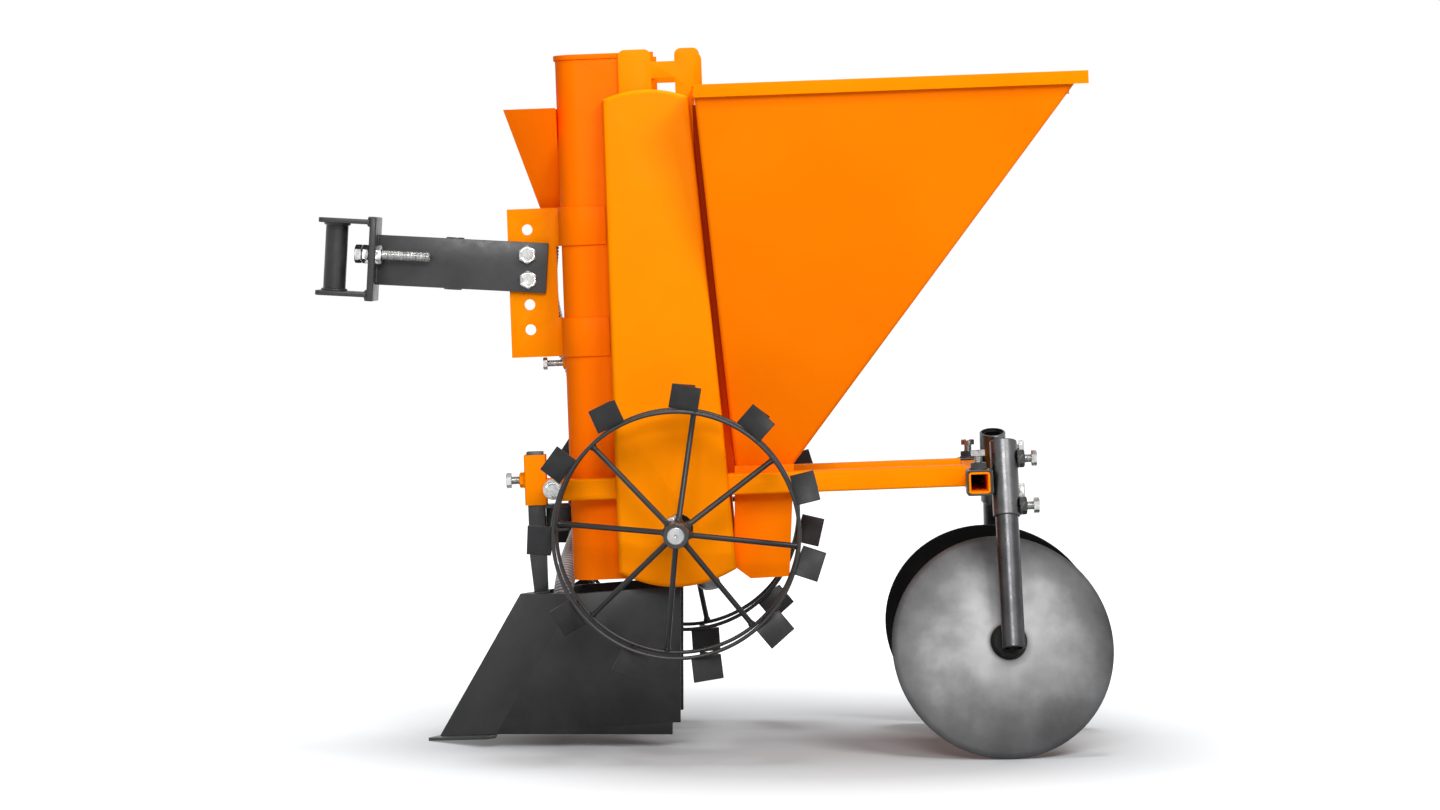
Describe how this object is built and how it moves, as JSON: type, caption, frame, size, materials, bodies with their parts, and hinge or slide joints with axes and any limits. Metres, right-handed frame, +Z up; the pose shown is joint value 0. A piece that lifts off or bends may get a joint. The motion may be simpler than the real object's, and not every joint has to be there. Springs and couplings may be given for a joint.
{
  "type": "potato planter",
  "caption": "Potato planter for a walk-behind tractor: seed hopper, chain-and-cup elevator, lugged drive wheels, furrow opener, covering discs and a fertiliser hopper with hose.",
  "frame": {"origin": "on the floor, under the middle of the machine's length and width", "axes": "+X towards the back, away from the hitch; +Y towards the right wheel; +Z up"},
  "size_m": [0.9462, 0.462, 0.8289],
  "materials": {
    "orange_paint": "satin orange powder coat",
    "dark_paint": "satin dark grey paint",
    "zinc": "zinc plated",
    "bare_steel": "bare rolled steel",
    "cast_iron": "rough black",
    "hose_plastic": "matte ribbed plastic"
  },
  "bodies": {
    "frame": {"axle_bearings": "cast_iron", "chute_rim": "orange_paint", "drawbar": "dark_paint", "drawbar_bolts": "zinc", "drawbar_sleeve": "dark_paint", "drop_chute": "orange_paint", "elevator_boot": "orange_paint", "elevator_casing": "orange_paint", "elevator_chain": "bare_steel", "elevator_cups": "bare_steel", "fertiliser_hopper": "orange_paint", "fertiliser_hose": "hose_plastic", "front_cross_bolt": "zinc", "front_crossmember": "orange_paint", "hitch_head": "dark_paint", "hitch_plate": "orange_paint", "hitch_sleeve": "dark_paint", "hitch_straps": "orange_paint", "hopper": "orange_paint", "hopper_rim": "orange_paint", "left_rail": "orange_paint", "left_side_cover": "orange_paint", "left_tension_bracket": "orange_paint", "opener_socket": "orange_paint", "rear_crossbar": "orange_paint", "right_rail": "orange_paint", "right_side_cover": "orange_paint", "right_tension_bracket": "orange_paint", "set_bolts": "zinc", "stop_screw_nuts": "zinc", "tension_screws": "zinc", "top_bearings": "cast_iron"},
    "gate": {"fertiliser_gate": "bare_steel"},
    "left_stop_screw": {"left_stop_screw": "zinc"},
    "right_stop_screw": {"right_stop_screw": "zinc"},
    "wheels": {"wheel_axle": "bare_steel", "lower_sprocket": "bare_steel", "hub_set_bolts": "zinc", "left_wheel_hoops": "dark_paint", "left_wheel_spokes": "dark_paint", "left_wheel_lugs": "dark_paint", "left_wheel_hub": "dark_paint", "right_wheel_hoops": "dark_paint", "right_wheel_spokes": "dark_paint", "right_wheel_lugs": "dark_paint", "right_wheel_hub": "dark_paint"},
    "top_shaft": {"top_shaft": "bare_steel", "top_sprocket": "bare_steel"},
    "opener": {"opener_shank": "dark_paint", "opener_stay": "dark_paint", "opener_left_plate": "dark_paint", "opener_right_plate": "dark_paint", "opener_share": "dark_paint", "opener_cap": "dark_paint"},
    "left_clamp": {"left_disc_clamp": "dark_paint"},
    "left_stand": {"left_disc_stand": "bare_steel"},
    "left_disc": {"left_disc": "bare_steel"},
    "right_clamp": {"right_disc_clamp": "dark_paint"},
    "right_stand": {"right_disc_stand": "bare_steel"},
    "right_disc": {"right_disc": "bare_steel"}
  },
  "joints": [
    {"name": "axle_spin", "type": "hinge", "parent": "frame", "child": "wheels", "pos_m": [-0.03725, 0, 0.262], "axis": [0, -1, 0], "continuous": true, "deforming": ["elevator_chain", "elevator_cups"]},
    {"name": "top_shaft_spin", "type": "hinge", "parent": "frame", "child": "top_shaft", "pos_m": [-0.054, 0, 0.71889], "axis": [0, -1, 0], "continuous": true},
    {"name": "opener_height", "type": "slide", "parent": "frame", "child": "opener", "axis": [-0.0366, 0, 0.9993], "range_m": [-0.025, 0]},
    {"name": "gate_slide", "type": "slide", "parent": "frame", "child": "gate", "axis": [0, 1, 0], "range_m": [0, 0.02]},
    {"name": "left_stop_screw_travel", "type": "slide", "parent": "frame", "child": "left_stop_screw", "axis": [-0.9987, 0, 0.0506], "range_m": [0, 0.03]},
    {"name": "left_clamp_slide", "type": "slide", "parent": "frame", "child": "left_clamp", "axis": [0, 1, 0], "range_m": [0, 0.024]},
    {"name": "left_stand_swivel", "type": "hinge", "parent": "left_clamp", "child": "left_stand", "pos_m": [0.3444, -0.132, 0.31952], "axis": [-0.035, 0.2924, 0.9557], "range_deg": [-25, 25]},
    {"name": "left_disc_spin", "type": "hinge", "parent": "left_stand", "child": "left_disc", "pos_m": [0.34665, -0.16023, 0.13472], "axis": [0.1544, -0.9432, 0.2942], "continuous": true},
    {"name": "right_stop_screw_travel", "type": "slide", "parent": "frame", "child": "right_stop_screw", "axis": [-0.9987, 0, 0.0506], "range_m": [0, 0.03]},
    {"name": "right_clamp_slide", "type": "slide", "parent": "frame", "child": "right_clamp", "axis": [0, -1, 0], "range_m": [0, 0.024]},
    {"name": "right_stand_swivel", "type": "hinge", "parent": "right_clamp", "child": "right_stand", "pos_m": [0.3444, 0.132, 0.31952], "axis": [-0.035, -0.2924, 0.9557], "range_deg": [-25, 25]},
    {"name": "right_disc_spin", "type": "hinge", "parent": "right_stand", "child": "right_disc", "pos_m": [0.34665, 0.16023, 0.13472], "axis": [0.1544, 0.9432, 0.2942], "continuous": true}
  ],
  "couplings": [
    {"joint": "top_shaft_spin", "follows": "axle_spin", "ratio": 1}
  ]
}
